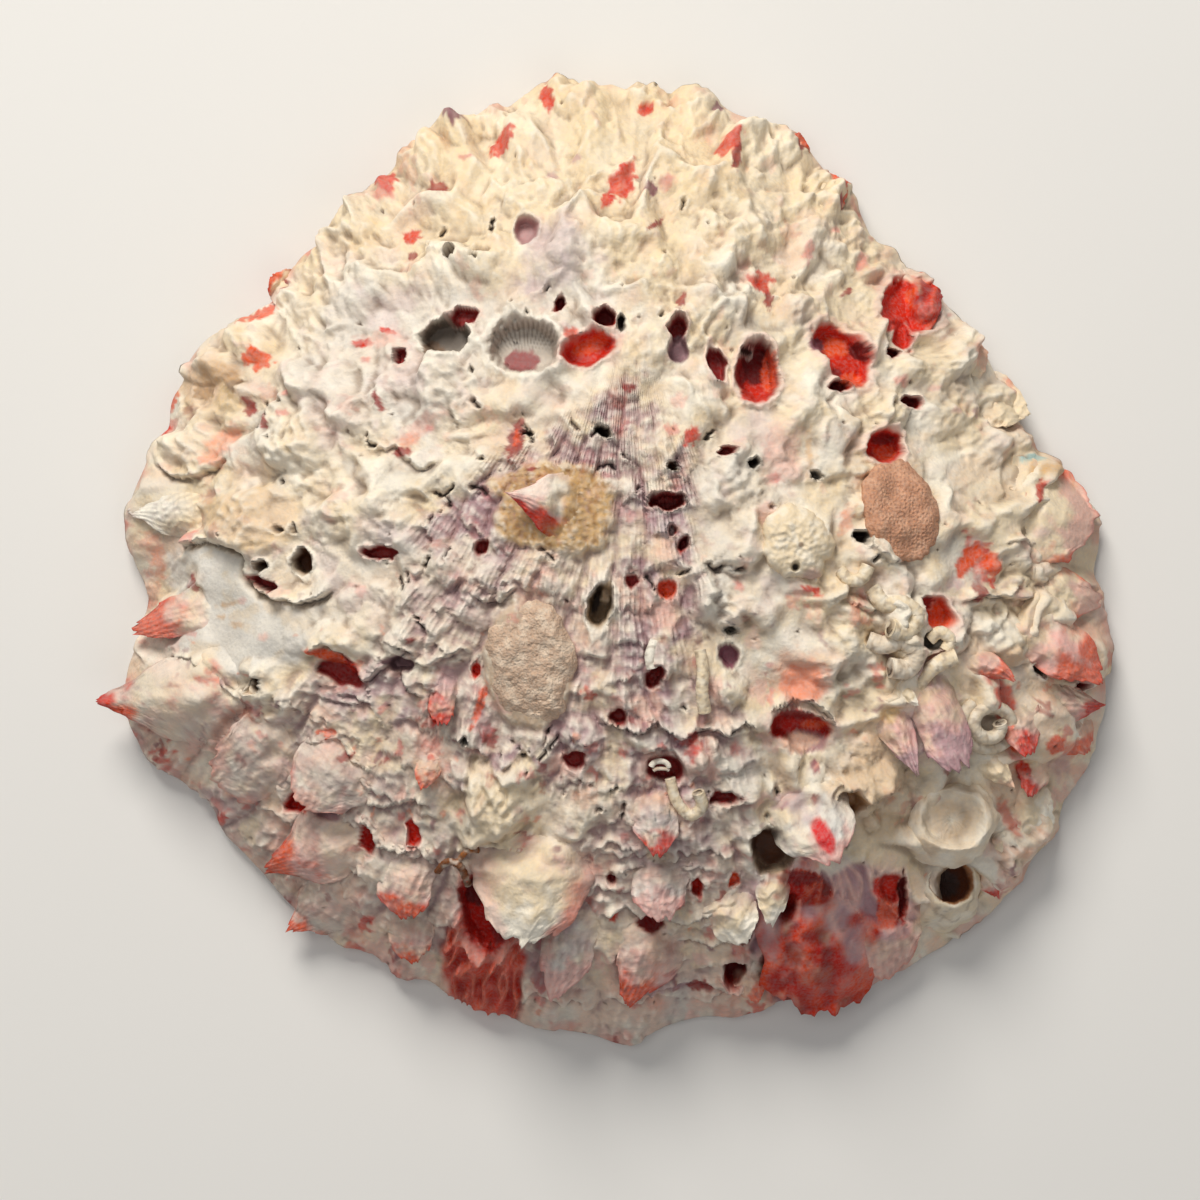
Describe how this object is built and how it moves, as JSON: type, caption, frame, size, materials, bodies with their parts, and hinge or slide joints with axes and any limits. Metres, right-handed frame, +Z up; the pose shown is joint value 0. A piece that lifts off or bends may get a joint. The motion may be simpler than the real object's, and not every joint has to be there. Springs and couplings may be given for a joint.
{
  "type": "spiny oyster shell",
  "caption": "One valve of an old spiny oyster, domed outside and hollow inside, with scales, spines, lime crust, barnacles and worm tubes cemented on.",
  "frame": {"origin": "under the middle of the shell's box, on the plane of the valve's margin", "axes": "+X to the right, +Y towards the hinge, +Z up through the dome"},
  "size_m": [0.15, 0.142, 0.0415],
  "materials": {
    "shell": "rough chalky lime with satin scales, cream to red",
    "barnacle": "chalky, faintly ribbed",
    "cup_shell": "satin, porcelain inside",
    "tube_lime": "rough chalky lime",
    "tube_brown": "satin",
    "crust_tan": "porous, matt",
    "crust_beige": "grainy, matt"
  },
  "bodies": {
    "root": {"valve": "shell", "barnacle_round": "barnacle", "jewel_box_shell": "cup_shell", "worm_tube_coil": "tube_lime", "worm_tube_knot": "tube_lime", "worm_tube_straight": "tube_lime", "worm_tube_brown": "tube_brown", "barnacle_dome": "barnacle", "moss_animal_crust": "crust_tan", "grainy_oval_crust": "crust_beige", "ring_shell": "cup_shell"}
  },
  "joints": []
}
